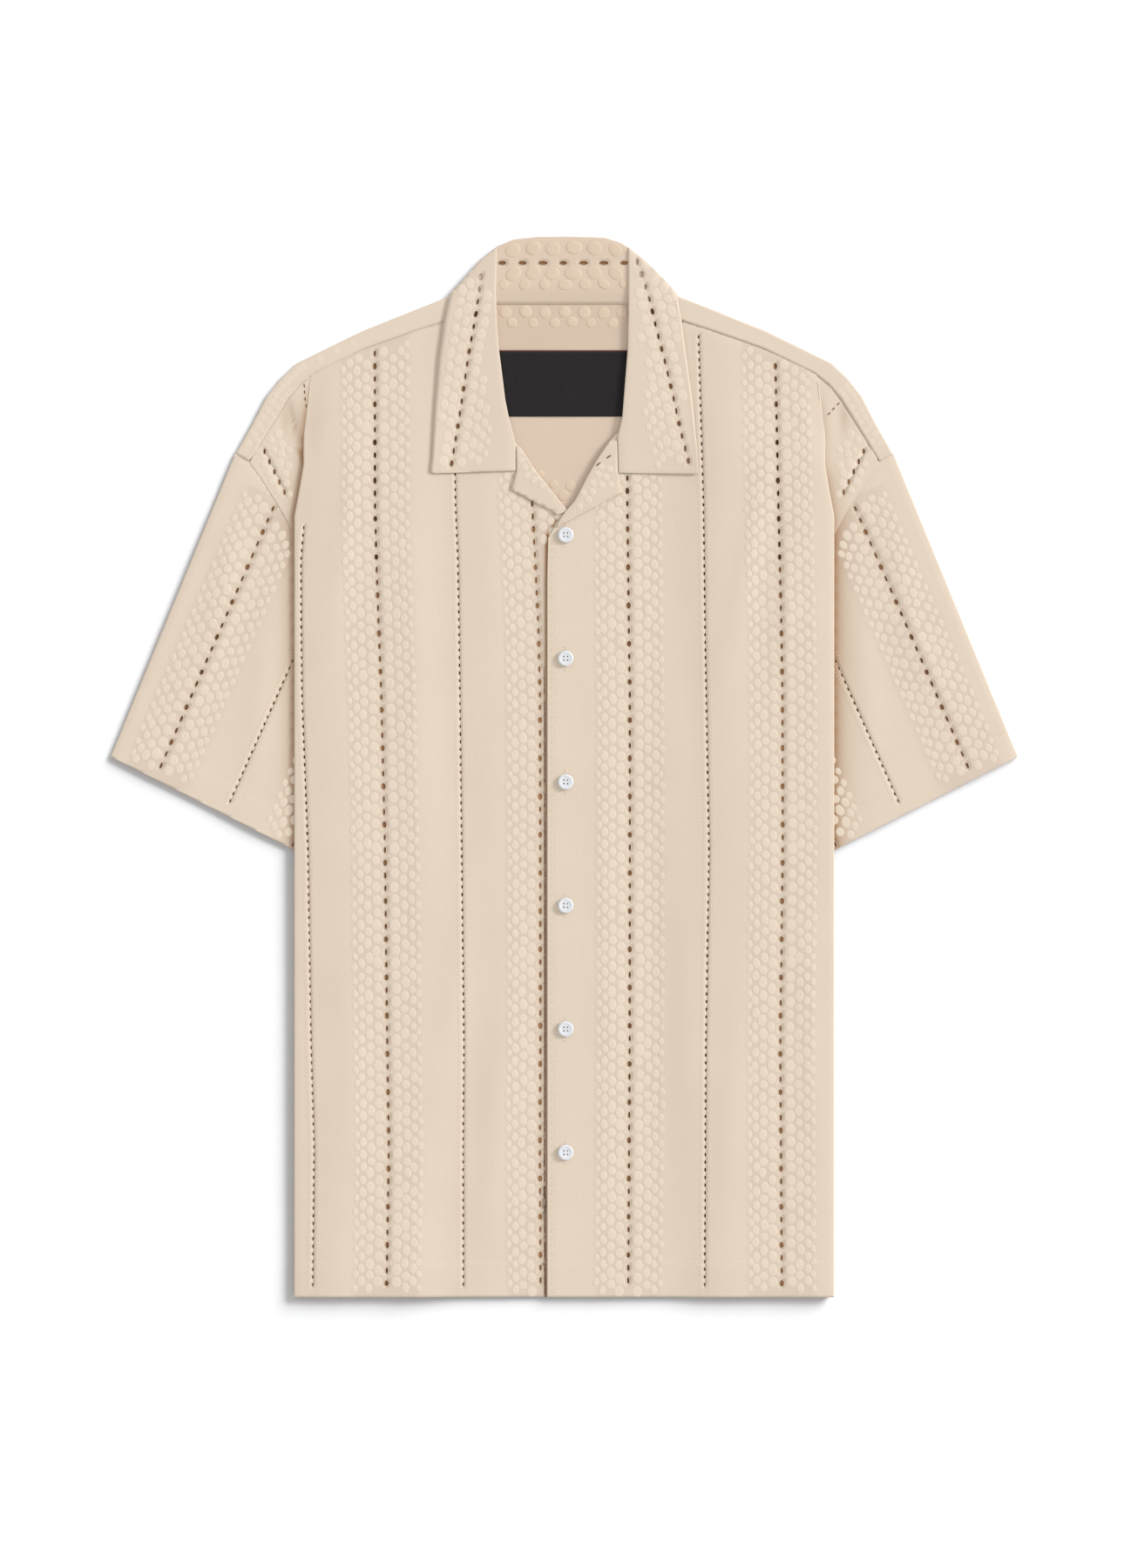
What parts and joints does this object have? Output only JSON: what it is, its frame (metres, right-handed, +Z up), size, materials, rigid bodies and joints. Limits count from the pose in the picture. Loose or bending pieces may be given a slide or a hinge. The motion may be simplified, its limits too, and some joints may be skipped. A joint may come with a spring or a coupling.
{
  "type": "short-sleeved camp-collar overshirt",
  "caption": "Short-sleeved camp-collar shirt in eyelet-embroidered cotton, buttoned and laid flat with its sides folded in.",
  "frame": {"origin": "centre of the outline at the surface that the shirt lies on", "axes": "+Y from the hem to the collar, +X towards the wearer's left, +Z up from the surface"},
  "size_m": [0.6564, 0.7664, 0.0063],
  "materials": {
    "cotton": "woven, matte",
    "pearl": "polished",
    "label_satin": "woven satin"
  },
  "bodies": {
    "root": {"back": "cotton", "yoke": "cotton", "shoulder_left": "cotton", "shoulder_right": "cotton", "front_left": "cotton", "front_right": "cotton", "front_left_side": "cotton", "front_right_side": "cotton", "side_fold_left": "cotton", "side_fold_right": "cotton", "sleeve_left_upper": "cotton", "sleeve_left_under": "cotton", "sleeve_right_upper": "cotton", "sleeve_right_under": "cotton", "collar_back": "cotton", "collar_left": "cotton", "collar_right": "cotton", "lapel_left": "cotton", "lapel_right": "cotton", "label": "label_satin", "button_1": "pearl", "button_2": "pearl", "button_3": "pearl", "button_4": "pearl", "button_5": "pearl", "button_6": "pearl"}
  },
  "joints": []
}
